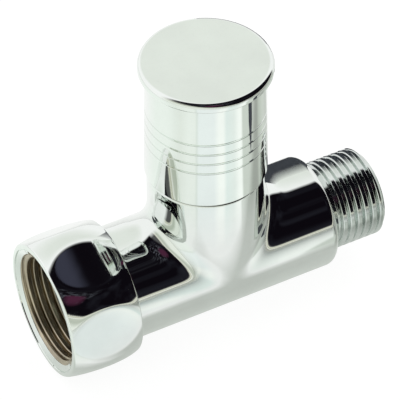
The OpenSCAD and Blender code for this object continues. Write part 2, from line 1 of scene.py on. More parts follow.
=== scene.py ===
"""Looks of a chromed shut-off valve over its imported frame: body, union nut, threads, handle and cap."""

import math

import bmesh
import bpy
import numpy as np
from mathutils import Matrix, Vector


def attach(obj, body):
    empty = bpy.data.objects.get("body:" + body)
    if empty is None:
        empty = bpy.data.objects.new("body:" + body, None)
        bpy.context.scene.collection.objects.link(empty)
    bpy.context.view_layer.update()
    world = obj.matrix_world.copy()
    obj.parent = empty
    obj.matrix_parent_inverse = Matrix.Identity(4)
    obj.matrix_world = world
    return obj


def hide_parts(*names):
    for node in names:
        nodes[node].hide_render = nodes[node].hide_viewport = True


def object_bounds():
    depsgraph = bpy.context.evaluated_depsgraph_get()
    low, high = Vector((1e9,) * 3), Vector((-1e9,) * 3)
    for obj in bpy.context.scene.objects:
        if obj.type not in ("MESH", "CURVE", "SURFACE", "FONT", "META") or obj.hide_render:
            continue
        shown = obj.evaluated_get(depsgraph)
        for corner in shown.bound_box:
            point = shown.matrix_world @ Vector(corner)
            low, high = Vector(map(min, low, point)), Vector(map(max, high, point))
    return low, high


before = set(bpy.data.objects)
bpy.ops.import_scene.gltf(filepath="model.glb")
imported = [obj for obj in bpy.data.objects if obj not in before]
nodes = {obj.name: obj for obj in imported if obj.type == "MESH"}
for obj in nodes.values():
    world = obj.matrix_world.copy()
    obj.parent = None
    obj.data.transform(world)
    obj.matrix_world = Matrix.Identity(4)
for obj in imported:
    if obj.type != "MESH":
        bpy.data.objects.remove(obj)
cad_lo, cad_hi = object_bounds()

MM = 0.001

# Sizes repeated from the part's source, in millimetres
RUN_R = 13.3
RUN_START = 8.45
HANDLE_X = 32.0
SHOULDER_X = 60.2
SHOULDER_ROUND = 2.0
OUTLET_END = 74.3
TAIL_R = 10.2
TAIL_END = 2.0
RING_GROOVE = (3.1, 4.8, 9.35)
WATERWAY_R = 7.5
PITCH = 1.814
THREAD_H = 1.162
OUTLET_ROOT_R = 9.3155
BRANCH_R = 13.2
BRANCH_TOP = 26.5
FILLET_R = 5.0
HEAD_BORE_R = 10.35
HEAD_BORE_Z = 14.7
CHAMBER_R = 10.05
SEAT_Z = 1.2
SEAT_HOLE_R = 5.3
PASSAGE_R = 5.0
PASSAGE_Z = -6.2
INLET_STOP = 20.05
OUTLET_START = 41.0
NUT_FRONT = -9.2
NUT_REAR = 8.05
NUT_FLATS = 32.0
NUT_BARREL_R = 17.3
NUT_FACE_R = 15.8
NUT_REAR_R = 15.7
NUT_BORE_R = 10.25
NUT_MAJOR_R = 13.2205
NUT_MOUTH_R = 14.7
NUT_MOUTH_LEAD = 0.85
NUT_LIP_X = 5.05
NUT_FLAT_ANGLE = -79.0
HANDLE_Z = 26.9
HANDLE_TOP = 54.9
HANDLE_R = 13.75
HANDLE_TOP_R = 13.2
GROOVE_Z = (36.4, 39.09, 41.78, 44.47)
RECESS_R = 11.3
RECESS_Z = 51.5
WEB_Z = 49.1
SKIRT_R = 12.6
SKIRT_TOP_R = 12.05
HUB_R = 7.7
HUB_Z = 43.8
BUSH_HOLE_R = 6.05
SCREW_HOLE_R = 2.25
CAP_R = 14.8
CAP_ROUND = 1.3
CAP_TOP = 57.2
CAP_SKIRT_R = 11.0
CAP_SKIRT_Z = 52.3
CAP_INNER_R = 9.2
CAP_INNER_Z = 55.7

# Sizes of the finer shapes, in millimetres
FINE_EDGE = 0.1
SOFT_EDGE = 0.2
ROUND_EDGE = 0.3
OUTLET_PITCH = 1.95
SHAFT_SINK = 0.07
OUTLET_BORE_LEAD = 0.6
INLET_BORE_LEAD = 0.5
HEAD_BORE_LEAD = 0.35
BRANCH_RIM_ROUND = 0.78
BRANCH_RIM_H = 0.8
NUT_SEAM_R = 14.95
NUT_EDGE = 0.6
NUT_DOME = 0.2
NUT_SLEEVE_R = 13.62
NUT_SLEEVE_BACK_R = 13.58
NUT_THREAD_END = 0.4
MOUTH_LINE_X = 0.42
MOUTH_EDGE = 0.05
GROOVE_W = 0.5
GROOVE_DEPTH = 0.5
GROOVE_LIP = 0.08
GROOVE_FLOOR_ROUND = 0.04
HANDLE_FOOT_R = 13.1
HANDLE_EDGE = 0.35
CAP_EDGE = 0.5

HANDLE_COLUMNS = 256

# Points in one cell, of so many to a millimetre, are one point; the shift keeps round sizes off its edges
WELD_CELLS = 1e4
WELD_SHIFT = 0.31831


# Shapes turned on a lathe

def turned_profile(corners, side=1, longest=2.0, arc_step=12.0):
    """Dense profile with normals from corners (along, radius, rounding); side 1 has metal on the right."""
    points = [np.array(c[:2], float) for c in corners]
    rounds = [c[2] if len(c) > 2 else 0.0 for c in corners]
    rows = []

    def add(point, normal):
        rows.append((point[0], point[1], normal[0], normal[1]))

    def left_of(direction):
        return side * np.array([-direction[1], direction[0]])

    start = points[0]
    for i in range(1, len(points)):
        before = (points[i] - points[i - 1]) / np.linalg.norm(points[i] - points[i - 1])
        normal = left_of(before)
        stop = points[i]
        turn = 0.0
        if i < len(points) - 1 and rounds[i] > 0:
            after = (points[i + 1] - points[i]) / np.linalg.norm(points[i + 1] - points[i])
            turn = math.atan2(before[0] * after[1] - before[1] * after[0], float(before @ after))
            stop = points[i] - before * rounds[i] * math.tan(abs(turn) / 2)
        count = max(1, math.ceil(np.linalg.norm(stop - start) / longest))
        for k in range(count + 1):
            add(start + (stop - start) * k / count, normal)
        start = stop
        if turn:
            inward = rounds[i] * (1 if turn * side > 0 else -1)
            centre = stop + normal * inward
            steps = max(2, math.ceil(math.degrees(abs(turn)) / arc_step))
            for k in range(1, steps + 1):
                angle = turn * k / steps
                spun = np.array([
                    normal[0] * math.cos(angle) - normal[1] * math.sin(angle),
                    normal[0] * math.sin(angle) + normal[1] * math.cos(angle),
                ])
                add(centre - spun * inward, spun)
            start = centre - spun * inward
            rows.pop()
    return np.array(rows)


def round_run(along, radius, angle):
    """Vector at an angle round the run's axis, from the top towards +Y."""
    return np.stack(np.broadcast_arrays(along, radius * np.sin(angle), radius * np.cos(angle)), -1)


def round_branch(along, radius, angle):
    """Vector at an angle round the branch's axis, from the outlet side."""
    return np.stack(np.broadcast_arrays(radius * np.cos(angle), radius * np.sin(angle), along), -1)


def lathe(profile, angles, turn, centre=(0, 0, 0)):
    """Rows of points and normals of a profile swept through the angles."""
    along, radius, n_along, n_radius = (profile[:, k, None] for k in range(4))
    return turn(along, radius, angles[None]) + np.array(centre), turn(n_along, n_radius, angles[None])


def grid_faces(rows, columns, closed=False, flip=False):
    """Quads of a grid of points that is stored row by row."""
    i = np.arange(rows - 1)[:, None] * columns
    j = np.arange(columns if closed else columns - 1)[None]
    k = (j + 1) % columns
    quads = np.stack(np.broadcast_arrays(i + j, i + columns + j, i + columns + k, i + k), -1).reshape(-1, 4)
    return (quads[:, ::-1] if flip else quads).tolist()


def welded_mesh(name, parts, sharp=None):
    """One mesh in metres from parts of (points, normals, faces) in millimetres, joined where points meet."""
    points = np.concatenate([p[0].reshape(-1, 3) for p in parts])
    normals = np.concatenate([p[1].reshape(-1, 3) for p in parts])
    keys = np.floor(points * WELD_CELLS + WELD_SHIFT).astype(np.int64)
    _, first, places = np.unique(keys, axis=0, return_index=True, return_inverse=True)
    places = places.reshape(-1)
    faces = []
    offset = 0
    for part in parts:
        for face in part[2]:
            ring = [int(places[offset + k]) for k in face]
            ring = [v for n, v in enumerate(ring) if v != ring[n - 1]]
            if len(set(ring)) == len(ring) and len(ring) > 2:
                faces.append(ring)
        offset += len(part[0].reshape(-1, 3))
    mesh = bpy.data.meshes.new(name)
    mesh.from_pydata((points[first] * MM).tolist(), [], faces)
    mesh.polygons.foreach_set("use_smooth", [True] * len(mesh.polygons))
    if sharp:
        mesh.set_sharp_from_angle(angle=math.radians(sharp))
    mesh.normals_split_custom_set_from_vertices(normals[first].tolist())
    mesh.update()
    return mesh


def shown(name, mesh, material):
    """Object of a finished mesh, at the origin."""
    mesh.materials.clear()
    mesh.materials.append(material)
    piece = bpy.data.objects.new(name, mesh)
    bpy.context.scene.collection.objects.link(piece)
    return piece


def handle_piece(name, corners, material, longest):
    """Closed piece turned on the handle's axis, of one profile that ends where it starts, or on the axis."""
    profile = turned_profile(corners, longest=longest)
    angles = np.linspace(0, 2 * math.pi, HANDLE_COLUMNS, endpoint=False)
    points, normals = lathe(profile, angles, round_branch, (HANDLE_X, 0, 0))
    faces = grid_faces(len(profile), HANDLE_COLUMNS, closed=True, flip=True)
    return shown(name, welded_mesh(name, [(points, normals, faces)]), material)


# Finishes

def new_finish(name):
    """Material with its nodes, its shader and its object coordinates."""
    material = bpy.data.materials.new(name)
    material.use_nodes = True
    tree = material.node_tree
    shader = tree.nodes["Principled BSDF"]
    place = tree.nodes.new("ShaderNodeTexCoord").outputs["Object"]
    return material, tree, shader, place


SMUDGE_SCALE = 90
RIPPLE_SCALE = 130
RIPPLE_DEPTH = 0.0004
STAIN_SCALE = 160
STAIN_DEPTH = 0.0001
LINE_DEPTH = 0.00005
GRAIN_DEPTH = 0.00008
CLOUD_TO_GRAIN = 6


def noise(tree, place, scale, detail=3.0, roughness=0.5, stretch=None):
    """Noise on object coordinates, stretched along the axes where asked."""
    if stretch:
        mapping = tree.nodes.new("ShaderNodeMapping")
        mapping.inputs["Scale"].default_value = stretch
        tree.links.new(place, mapping.inputs["Vector"])
        place = mapping.outputs["Vector"]
    node = tree.nodes.new("ShaderNodeTexNoise")
    node.inputs["Scale"].default_value = scale
    node.inputs["Detail"].default_value = detail
    node.inputs["Roughness"].default_value = roughness
    tree.links.new(place, node.inputs["Vector"])
    return node.outputs["Fac"]


def ranged(tree, value, low, high, out_low, out_high):
    """Value moved from one range to another, held at the ends."""
    node = tree.nodes.new("ShaderNodeMapRange")
    for socket, number in zip(node.inputs[1:5], (low, high, out_low, out_high)):
        socket.default_value = number
    tree.links.new(value, node.inputs["Value"])
    return node.outputs["Result"]


def tinted(tree, value, low_colour, high_colour):
    """Colour between two tints."""
    ramp = tree.nodes.new("ShaderNodeValToRGB")
    ramp.color_ramp.elements[0].color = (*low_colour, 1)
    ramp.color_ramp.elements[1].color = (*high_colour, 1)
    tree.links.new(value, ramp.inputs["Fac"])
    return ramp.outputs["Color"]


def bumped(tree, shader, heights):
    """Chain of bumps from (height, strength, distance in metres)."""
    normal = None
    for height, strength, distance in heights:
        node = tree.nodes.new("ShaderNodeBump")
        node.inputs["Strength"].default_value = strength
        node.inputs["Distance"].default_value = distance
        tree.links.new(height, node.inputs["Height"])
        if normal:
            tree.links.new(normal, node.inputs["Normal"])
        normal = node.outputs["Normal"]
    tree.links.new(normal, shader.inputs["Normal"])


def chrome_finish(name, dark, light, polish, ripple):
    """Polished chrome with faint smudges and the soft ripple of a buffed surface."""
    material, tree, shader, place = new_finish(name)
    shader.inputs["Metallic"].default_value = 1.0
    smudge = noise(tree, place, SMUDGE_SCALE, detail=5, roughness=0.6)
    colour = tinted(tree, ranged(tree, smudge, 0.35, 0.7, 0, 1), dark, light)
    tree.links.new(colour, shader.inputs["Base Color"])
    tree.links.new(ranged(tree, smudge, 0.3, 0.75, *polish), shader.inputs["Roughness"])
    bumped(tree, shader, [(noise(tree, place, RIPPLE_SCALE, detail=2), ripple, RIPPLE_DEPTH)])
    return material


ROUND_RUN_LINES = (2600, 60, 60)
ROUND_BRANCH_LINES = (60, 60, 2600)


def turned_finish(name, dark, light, polish, lines, stretch=ROUND_RUN_LINES):
    """Turned metal with fine tool lines round the axis it was turned on."""
    material, tree, shader, place = new_finish(name)
    shader.inputs["Metallic"].default_value = 1.0
    marks = noise(tree, place, 1, detail=4, roughness=0.7, stretch=stretch)
    stain = noise(tree, place, STAIN_SCALE, detail=4, roughness=0.65)
    colour = tinted(tree, ranged(tree, stain, 0.3, 0.7, 0, 1), dark, light)
    tree.links.new(colour, shader.inputs["Base Color"])
    tree.links.new(ranged(tree, marks, 0.25, 0.75, *polish), shader.inputs["Roughness"])
    bumped(tree, shader, [(marks, lines, LINE_DEPTH), (stain, lines, STAIN_DEPTH)])
    return material


def moulded_finish(name, dark, light, polish, grain_scale, grain):
    """Rubber, plastic, ceramic or fibre with a fine grain."""
    material, tree, shader, place = new_finish(name)
    cloud = noise(tree, place, grain_scale / CLOUD_TO_GRAIN, detail=3)
    fine = noise(tree, place, grain_scale, detail=4, roughness=0.7)
    colour = tinted(tree, ranged(tree, cloud, 0.3, 0.7, 0, 1), dark, light)
    tree.links.new(colour, shader.inputs["Base Color"])
    tree.links.new(ranged(tree, fine, 0.3, 0.7, *polish), shader.inputs["Roughness"])
    bumped(tree, shader, [(fine, grain, GRAIN_DEPTH)])
    return material


CHROME_SHADE = (0.84, 0.87, 0.845)
CHROME_LIGHT = (0.89, 0.925, 0.90)
CHROME_POLISH = (0.02, 0.05)

body_chrome = chrome_finish("body_chrome", CHROME_SHADE, CHROME_LIGHT, CHROME_POLISH, 0.02)
nut_chrome = chrome_finish("nut_chrome", CHROME_SHADE, CHROME_LIGHT, CHROME_POLISH, 0.03)
handle_chrome = chrome_finish(
    "handle_chrome", (0.85, 0.88, 0.855), (0.90, 0.935, 0.905), CHROME_POLISH, 0.015)
satin_thread = turned_finish("satin_thread", (0.60, 0.64, 0.62), (0.80, 0.84, 0.82), (0.05, 0.11), 0.015)
golden_thread = turned_finish("golden_thread", (0.42, 0.37, 0.29), (0.66, 0.58, 0.44), (0.26, 0.38), 0.12)
headwork_brass = turned_finish(
    "headwork_brass", (0.60, 0.44, 0.20), (0.78, 0.62, 0.34), (0.18, 0.32), 0.2, ROUND_BRANCH_LINES)
spring_steel = turned_finish("spring_steel", (0.48, 0.49, 0.50), (0.66, 0.67, 0.68), (0.2, 0.34), 0.2)
gasket_rubber = moulded_finish(
    "gasket_rubber", (0.018, 0.018, 0.019), (0.035, 0.035, 0.036), (0.5, 0.75), 2600, 0.35)
disc_ceramic = moulded_finish(
    "disc_ceramic", (0.78, 0.77, 0.73), (0.86, 0.85, 0.81), (0.12, 0.22), 1800, 0.06)
slip_plastic = moulded_finish(
    "slip_plastic", (0.82, 0.82, 0.79), (0.90, 0.90, 0.88), (0.35, 0.5), 1500, 0.15)
bush_plastic = moulded_finish(
    "bush_plastic", (0.20, 0.22, 0.23), (0.27, 0.29, 0.30), (0.4, 0.6), 1500, 0.2)
washer_fibre = moulded_finish(
    "washer_fibre", (0.27, 0.08, 0.05), (0.40, 0.13, 0.09), (0.6, 0.85), 3200, 0.5)

NODE_FINISHES = {
    "retaining_ring": spring_steel, "nut_gasket": gasket_rubber, "headwork_housing": headwork_brass,
    "headwork_washer": washer_fibre, "seat_seal": gasket_rubber, "fixed_disc": disc_ceramic,
    "rotating_disc": disc_ceramic, "spindle": headwork_brass, "slip_washer": slip_plastic,
    "spindle_ring_lower": gasket_rubber, "spindle_ring_upper": gasket_rubber, "stop_ring": spring_steel,
    "spindle_clip": spring_steel, "spline_bush": bush_plastic, "screw_washer": spring_steel,
    "handle_screw": spring_steel, "cap_ring": gasket_rubber,
}
for node_name, finish in NODE_FINISHES.items():
    carried = nodes[node_name]
    for material_slot in carried.material_slots:
        material_slot.material = finish


# Shapes grown by Geometry Nodes

def counted(tree, operation, *values):
    """Math node on sockets or numbers."""
    node = tree.nodes.new("ShaderNodeMath")
    node.operation = operation
    for socket, value in zip(node.inputs, values):
        if isinstance(value, bpy.types.NodeSocket):
            tree.links.new(value, socket)
        else:
            socket.default_value = value
    return node.outputs[0]


def clamped(tree, value, low, high):
    """Value held between two limits."""
    return counted(tree, "MINIMUM", counted(tree, "MAXIMUM", value, low), high)


def away_from(tree, across, up):
    """Distance of a point from an axis, from its two coordinates."""
    squares = (counted(tree, "MULTIPLY", across, across), counted(tree, "MULTIPLY", up, up))
    return counted(tree, "SQRT", counted(tree, "ADD", *squares))


def axes(tree, vector):
    """The three numbers of a vector."""
    node = tree.nodes.new("ShaderNodeSeparateXYZ")
    tree.links.new(vector, node.inputs[0])
    return node.outputs


def new_tree(name, sizes, geometry_in=False):
    """Geometry Nodes tree with named number inputs and a material, and its group nodes."""
    tree = bpy.data.node_groups.new(name, "GeometryNodeTree")
    if geometry_in:
        tree.interface.new_socket(name="Geometry", in_out="INPUT", socket_type="NodeSocketGeometry")
    for size in sizes:
        tree.interface.new_socket(name=size, in_out="INPUT", socket_type="NodeSocketFloat")
    tree.interface.new_socket(name="Finish", in_out="INPUT", socket_type="NodeSocketMaterial")
    tree.interface.new_socket(name="Geometry", in_out="OUTPUT", socket_type="NodeSocketGeometry")
    output = tree.nodes.new("NodeGroupOutput").inputs["Geometry"]
    return tree, tree.nodes.new("NodeGroupInput").outputs, output


def closing_nodes(tree, geometry, inputs, output, weld):
    """Welds, shades, realizes and paints the tree's result."""
    for kind in ("MergeByDistance", "SetShadeSmooth", "RealizeInstances", "SetMaterial"):
        node = tree.nodes.new("GeometryNode" + kind)
        tree.links.new(geometry, node.inputs["Geometry"])
        if kind == "MergeByDistance":
            node.inputs["Distance"].default_value = weld
        if kind == "SetMaterial":
            tree.links.new(inputs["Finish"], node.inputs["Material"])
        geometry = node.outputs[0]
    tree.links.new(geometry, output)


def moved_to(tree, geometry, along, radius, angle):
    """Puts each point at its place round the run's axis."""
    place = tree.nodes.new("ShaderNodeCombineXYZ")
    tree.links.new(along, place.inputs["X"])
    tree.links.new(counted(tree, "MULTIPLY", radius, counted(tree, "SINE", angle)), place.inputs["Y"])
    tree.links.new(counted(tree, "MULTIPLY", radius, counted(tree, "COSINE", angle)), place.inputs["Z"])
    move = tree.nodes.new("GeometryNodeSetPosition")
    tree.links.new(geometry, move.inputs["Geometry"])
    tree.links.new(place.outputs[0], move.inputs["Position"])
    return move.outputs[0]


THREAD_STEPS = 12
THREAD_TURN_STEPS = 144

# A ridge's flank, in shares of a pitch: where it ends beside the crest's middle, and its rise
CREST_EDGE = 0.5 - 0.5 / THREAD_STEPS
FLANK_RISE = 5

THREAD_WELD = 2e-6
NUT_WELD = 1e-7


def thread_tree():
    """Helical thread on a closed sleeve: a grid whose columns follow the ridge."""
    tree, inputs, output = new_tree("pipe_thread", (
        "Root Radius", "Ridge Height", "Pitch", "Sleeve Start", "Sleeve End",
        "Thread Start", "Thread End", "Lead Slope", "End Slope", "Back Radius", "Columns"))
    grid = tree.nodes.new("GeometryNodeMeshGrid")
    grid.inputs["Size X"].default_value = 1
    grid.inputs["Size Y"].default_value = 1
    grid.inputs["Vertices Y"].default_value = THREAD_TURN_STEPS + 1
    total = counted(tree, "ADD", inputs["Columns"], 3)
    tree.links.new(total, grid.inputs["Vertices X"])
    spot = axes(tree, tree.nodes.new("GeometryNodeInputPosition").outputs[0])
    last = counted(tree, "SUBTRACT", total, 1)
    column = counted(tree, "ROUND", counted(tree, "MULTIPLY", counted(tree, "ADD", spot["X"], 0.5), last))
    lap = counted(tree, "ADD", spot["Y"], 0.5)
    angle = counted(tree, "MULTIPLY", lap, 2 * math.pi)
    step = counted(tree, "DIVIDE", inputs["Pitch"], THREAD_STEPS)
    base = counted(tree, "ADD", counted(tree, "SUBTRACT", inputs["Sleeve Start"], inputs["Pitch"]),
                   counted(tree, "MULTIPLY", column, step))
    raw = counted(tree, "ADD", base, counted(tree, "MULTIPLY", inputs["Pitch"], lap))
    held = clamped(tree, raw, inputs["Sleeve Start"], inputs["Sleeve End"])
    nudged = counted(tree, "ADD", column, 0.001)
    phase = counted(tree, "FRACT", counted(tree, "DIVIDE", nudged, THREAD_STEPS))
    off_crest = counted(tree, "ABSOLUTE", counted(tree, "SUBTRACT", phase, 0.5))
    share = counted(tree, "MULTIPLY", counted(tree, "SUBTRACT", CREST_EDGE, off_crest), FLANK_RISE)
    share = clamped(tree, share, 0, 1)
    size = counted(tree, "ABSOLUTE", inputs["Ridge Height"])
    from_start = counted(tree, "SUBTRACT", held, inputs["Thread Start"])
    to_end = counted(tree, "SUBTRACT", inputs["Thread End"], held)
    lead = counted(tree, "MULTIPLY", from_start, inputs["Lead Slope"])
    tail = counted(tree, "MULTIPLY", to_end, inputs["End Slope"])
    room = counted(tree, "MAXIMUM", counted(tree, "MINIMUM", lead, tail), 0)
    ridge = counted(tree, "MINIMUM", counted(tree, "MULTIPLY", share, size), room)
    signed = counted(tree, "MULTIPLY", ridge, counted(tree, "SIGN", inputs["Ridge Height"]))
    front_radius = counted(tree, "ADD", inputs["Root Radius"], signed)
    behind = counted(tree, "SUBTRACT", column, inputs["Columns"])
    is_back = counted(tree, "GREATER_THAN", behind, -0.5)
    at_start = counted(tree, "GREATER_THAN", behind, 0.5)
    at_close = counted(tree, "GREATER_THAN", behind, 1.5)

    def either(choice, yes, no):
        return counted(tree, "ADD", counted(tree, "MULTIPLY", choice, yes),
                       counted(tree, "MULTIPLY", counted(tree, "SUBTRACT", 1, choice), no))

    back_x = either(at_start, inputs["Sleeve Start"], inputs["Sleeve End"])
    back_r = either(at_close, inputs["Root Radius"], inputs["Back Radius"])
    along = either(is_back, back_x, held)
    radius = either(is_back, back_r, front_radius)
    sleeve = moved_to(tree, grid.outputs["Mesh"], along, radius, angle)
    closing_nodes(tree, sleeve, inputs, output, THREAD_WELD)
    return tree


def hexagon_tree():
    """Mills six flats on a turned blank, with softened edges where a flat meets the turned form."""
    tree, inputs, output = new_tree(
        "milled_hexagon", ("Flats", "Flat Angle", "Edge", "Middle", "Half Length", "Dome"), geometry_in=True)
    x, y, z = axes(tree, tree.nodes.new("GeometryNodeInputPosition").outputs[0])
    radius = away_from(tree, y, z)
    angle = counted(tree, "ARCTAN2", y, z)
    half_flat = math.pi / 6
    past = counted(tree, "SUBTRACT", angle, inputs["Flat Angle"])
    turned = counted(tree, "WRAP", past, half_flat, -half_flat)
    offset = counted(tree, "DIVIDE", counted(tree, "SUBTRACT", x, inputs["Middle"]), inputs["Half Length"])
    sag = counted(tree, "MULTIPLY", inputs["Dome"], counted(tree, "MULTIPLY", offset, offset))
    across = counted(tree, "SUBTRACT", counted(tree, "MULTIPLY", inputs["Flats"], 0.5), sag)
    flat = counted(tree, "DIVIDE", across, counted(tree, "COSINE", turned))
    milled = counted(tree, "SMOOTH_MIN", radius, flat, inputs["Edge"])
    closing_nodes(tree, moved_to(tree, inputs["Geometry"], x, milled, angle), inputs, output, NUT_WELD)
    return tree


def grown(name, source_mesh, tree, sizes, material):
    """Runs a tree once and keeps its result as a plain mesh."""
    seed = bpy.data.objects.new(name + "_seed", source_mesh)
    bpy.context.scene.collection.objects.link(seed)
    modifier = seed.modifiers.new("maker", "NODES")
    modifier.node_group = tree
    for item in tree.interface.items_tree:
        if item.in_out == "INPUT" and item.name in sizes:
            modifier[item.identifier] = sizes[item.name]
        elif item.in_out == "INPUT" and item.name == "Finish":
            modifier[item.identifier] = material
    bpy.context.view_layer.update()
    done = seed.evaluated_get(bpy.context.evaluated_depsgraph_get())
    mesh = bpy.data.meshes.new_from_object(done)
    mesh.name = name
    seed.modifiers.remove(modifier)
    bpy.data.objects.remove(seed)
    return mesh


def pointing_out(mesh):
    """Recalculates the normals of a closed mesh so that they point out of the metal."""
    work = bmesh.new()
    work.from_mesh(mesh)
    bmesh.ops.recalc_face_normals(work, faces=work.faces)
    work.to_mesh(mesh)
    work.free()
    return mesh


threads = thread_tree()


def thread_piece(name, root_r, height, pitch, sleeve, thread, slopes, back_r, material):
    """Threaded sleeve, with all sizes in millimetres."""
    columns = math.ceil((sleeve[1] - sleeve[0] + pitch) / pitch * THREAD_STEPS) + 1
    sizes = {
        "Root Radius": root_r * MM, "Ridge Height": height * MM, "Pitch": pitch * MM,
        "Sleeve Start": sleeve[0] * MM, "Sleeve End": sleeve[1] * MM,
        "Thread Start": thread[0] * MM, "Thread End": thread[1] * MM,
        "Lead Slope": slopes[0], "End Slope": slopes[1], "Back Radius": back_r * MM,
        "Columns": float(columns),
    }
    mesh = grown(name, bpy.data.meshes.new(name + "_blank"), threads, sizes, material)
    return shown(name, pointing_out(mesh), material)


# Valve body

END_STEPS = 120
SIDE_STEPS = 72
WALL_ROWS = 8
FILLET_ROWS = 24
RUN_ROWS = 40
RUN_SPREAD = 1.2
BORE_STEPS = 96
BORE_TURN = 0.01
SHARP_DEGREES = 35
EASE_WIDTH = 2.0
EASE_FULL = 4.0
EASE_FADE = 4.0


def body_columns():
    """Angles round the branch, and where each column meets the ends and the underside of the run."""
    left, right = RUN_START + 0.75, SHOULDER_X - SHOULDER_ROUND - 0.4
    quarter = math.pi / 2
    angle, along, round_angle = [], [], []
    for start, steps, x0, x1, p0, p1 in (
        (-0.25, END_STEPS, right, right, -math.pi, math.pi),
        (0.25, SIDE_STEPS, right, left, math.pi, math.pi),
        (0.75, END_STEPS, left, left, math.pi, -math.pi),
        (1.25, SIDE_STEPS, left, right, -math.pi, -math.pi),
    ):
        part = np.arange(steps) / steps
        angle.append(start * math.pi + part * quarter)
        along.append(x0 + (x1 - x0) * part)
        round_angle.append(p0 + (p1 - p0) * part)
    return np.concatenate(angle), np.concatenate(along), np.concatenate(round_angle), left, right


def eased(points, normals, first, last):
    """Normals averaged along each column, strongest at the fillet's two edges, as polishing rounds them."""
    step = np.linalg.norm(np.diff(points, axis=0), axis=2)
    path = np.concatenate([np.zeros((1, step.shape[1])), np.cumsum(step, axis=0)])
    share = np.gradient(path, axis=0)
    outside = np.maximum(path[first] - path, path - path[last])
    blend = np.clip(1 - (outside - EASE_FULL) / EASE_FADE, 0, 1)[..., None]
    soft = np.empty_like(normals)
    for k in range(len(points)):
        weight = np.exp(-((path - path[k]) / EASE_WIDTH) ** 2) * share
        soft[k] = (weight[..., None] * normals).sum(0)
    soft /= np.linalg.norm(soft, axis=2)[..., None]
    result = normals * (1 - blend) + soft * blend
    return result / np.linalg.norm(result, axis=2)[..., None]


def body_skin():
    """Branch, rolled fillet and run as one grid with exact normals, then the turned ends."""
    angle, along, round_angle, left, right = body_columns()
    count = len(angle)
    centre = np.array([HANDLE_X, 0, 0])
    wall_top = BRANCH_TOP - BRANCH_RIM_H
    rim = turned_profile(
        [(BRANCH_TOP - HEAD_BORE_LEAD, HEAD_BORE_R), (BRANCH_TOP, HEAD_BORE_R, 0.15),
         (BRANCH_TOP, BRANCH_R, BRANCH_RIM_ROUND), (wall_top, BRANCH_R)], side=-1, longest=1.0)
    points, normals = lathe(rim, angle, round_branch, centre)
    rows, turned = [points], [normals]

    ball_r, line_r = BRANCH_R + FILLET_R, RUN_R + FILLET_R
    cos_a, sin_a, flat = np.cos(angle), np.sin(angle), np.zeros(count)
    ball = np.stack([ball_r * cos_a, ball_r * sin_a, np.sqrt(line_r ** 2 - (ball_r * sin_a) ** 2)], -1)
    outward = np.stack([cos_a, sin_a, flat], -1)
    for t in np.linspace(0, 1, WALL_ROWS + 1)[1:-1]:
        z = wall_top + (ball[:, 2] - wall_top) * t
        rows.append((centre + np.stack([BRANCH_R * cos_a, BRANCH_R * sin_a, z], -1))[None])
        turned.append(outward[None])

    fillet_first = sum(len(row) for row in rows)
    low = -np.stack([flat, ball[:, 1], ball[:, 2]], -1) / line_r
    sweep = np.arccos(np.clip((-outward * low).sum(-1), -1, 1))[:, None]
    for t in np.linspace(0, 1, FILLET_ROWS + 1):
        spoke = (np.sin((1 - t) * sweep) * -outward + np.sin(t * sweep) * low) / np.sin(sweep)
        rows.append((centre + ball + FILLET_R * spoke)[None])
        turned.append(-spoke[None])

    foot_x = HANDLE_X + ball[:, 0]
    foot_angle = np.arctan2(ball[:, 1], ball[:, 2])
    for t in np.linspace(0, 1, RUN_ROWS + 1)[1:]:
        x = foot_x + (along - foot_x) * t ** RUN_SPREAD
        spin = foot_angle + (round_angle - foot_angle) * t ** RUN_SPREAD
        rows.append(round_run(x, RUN_R, spin)[None])
        turned.append(round_run(0.0, 1.0, spin)[None])
    points, normals = np.concatenate(rows), np.concatenate(turned)
    normals = eased(points, normals, fillet_first, fillet_first + FILLET_ROWS)
    parts = [(points, normals, grid_faces(len(points), count, closed=True))]

    shaft_r = OUTLET_ROOT_R - SHAFT_SINK
    outlet = turned_profile(
        [(right, RUN_R), (SHOULDER_X, RUN_R, SHOULDER_ROUND), (SHOULDER_X, shaft_r, 0.4),
         (OUTLET_END, shaft_r, ROUND_EDGE), (OUTLET_END, WATERWAY_R, ROUND_EDGE),
         (OUTLET_END - OUTLET_BORE_LEAD, WATERWAY_R)])
    ends = np.linspace(-math.pi, math.pi, END_STEPS + 1)
    points, normals = lathe(outlet, ends, round_run)
    parts.append((points, normals, grid_faces(len(outlet), END_STEPS + 1)))
    groove_start, groove_end, groove_r = RING_GROOVE
    inlet = turned_profile(
        [(left, RUN_R), (RUN_START, RUN_R, 0.35), (RUN_START, TAIL_R, SOFT_EDGE),
         (groove_end, TAIL_R, FINE_EDGE), (groove_end, groove_r, FINE_EDGE),
         (groove_start, groove_r, FINE_EDGE), (groove_start, TAIL_R, FINE_EDGE),
         (TAIL_END, TAIL_R, ROUND_EDGE), (TAIL_END, WATERWAY_R, SOFT_EDGE),
         (TAIL_END + INLET_BORE_LEAD, WATERWAY_R)], side=-1)
    points, normals = lathe(inlet, ends[::-1], round_run)
    parts.append((points, normals, grid_faces(len(inlet), END_STEPS + 1)))
    return parts, angle


def drill(ring_a, ring_b):
    """Closed prism between two rings of points, as a mesh in millimetres."""
    count = len(ring_a)
    faces = [[k, (k + 1) % count, count + (k + 1) % count, count + k] for k in range(count)]
    faces += [list(range(count))[::-1], list(range(count, 2 * count))]
    mesh = bpy.data.meshes.new("drill")
    mesh.from_pydata(np.concatenate([ring_a, ring_b]).tolist(), [], faces)
    return pointing_out(mesh)


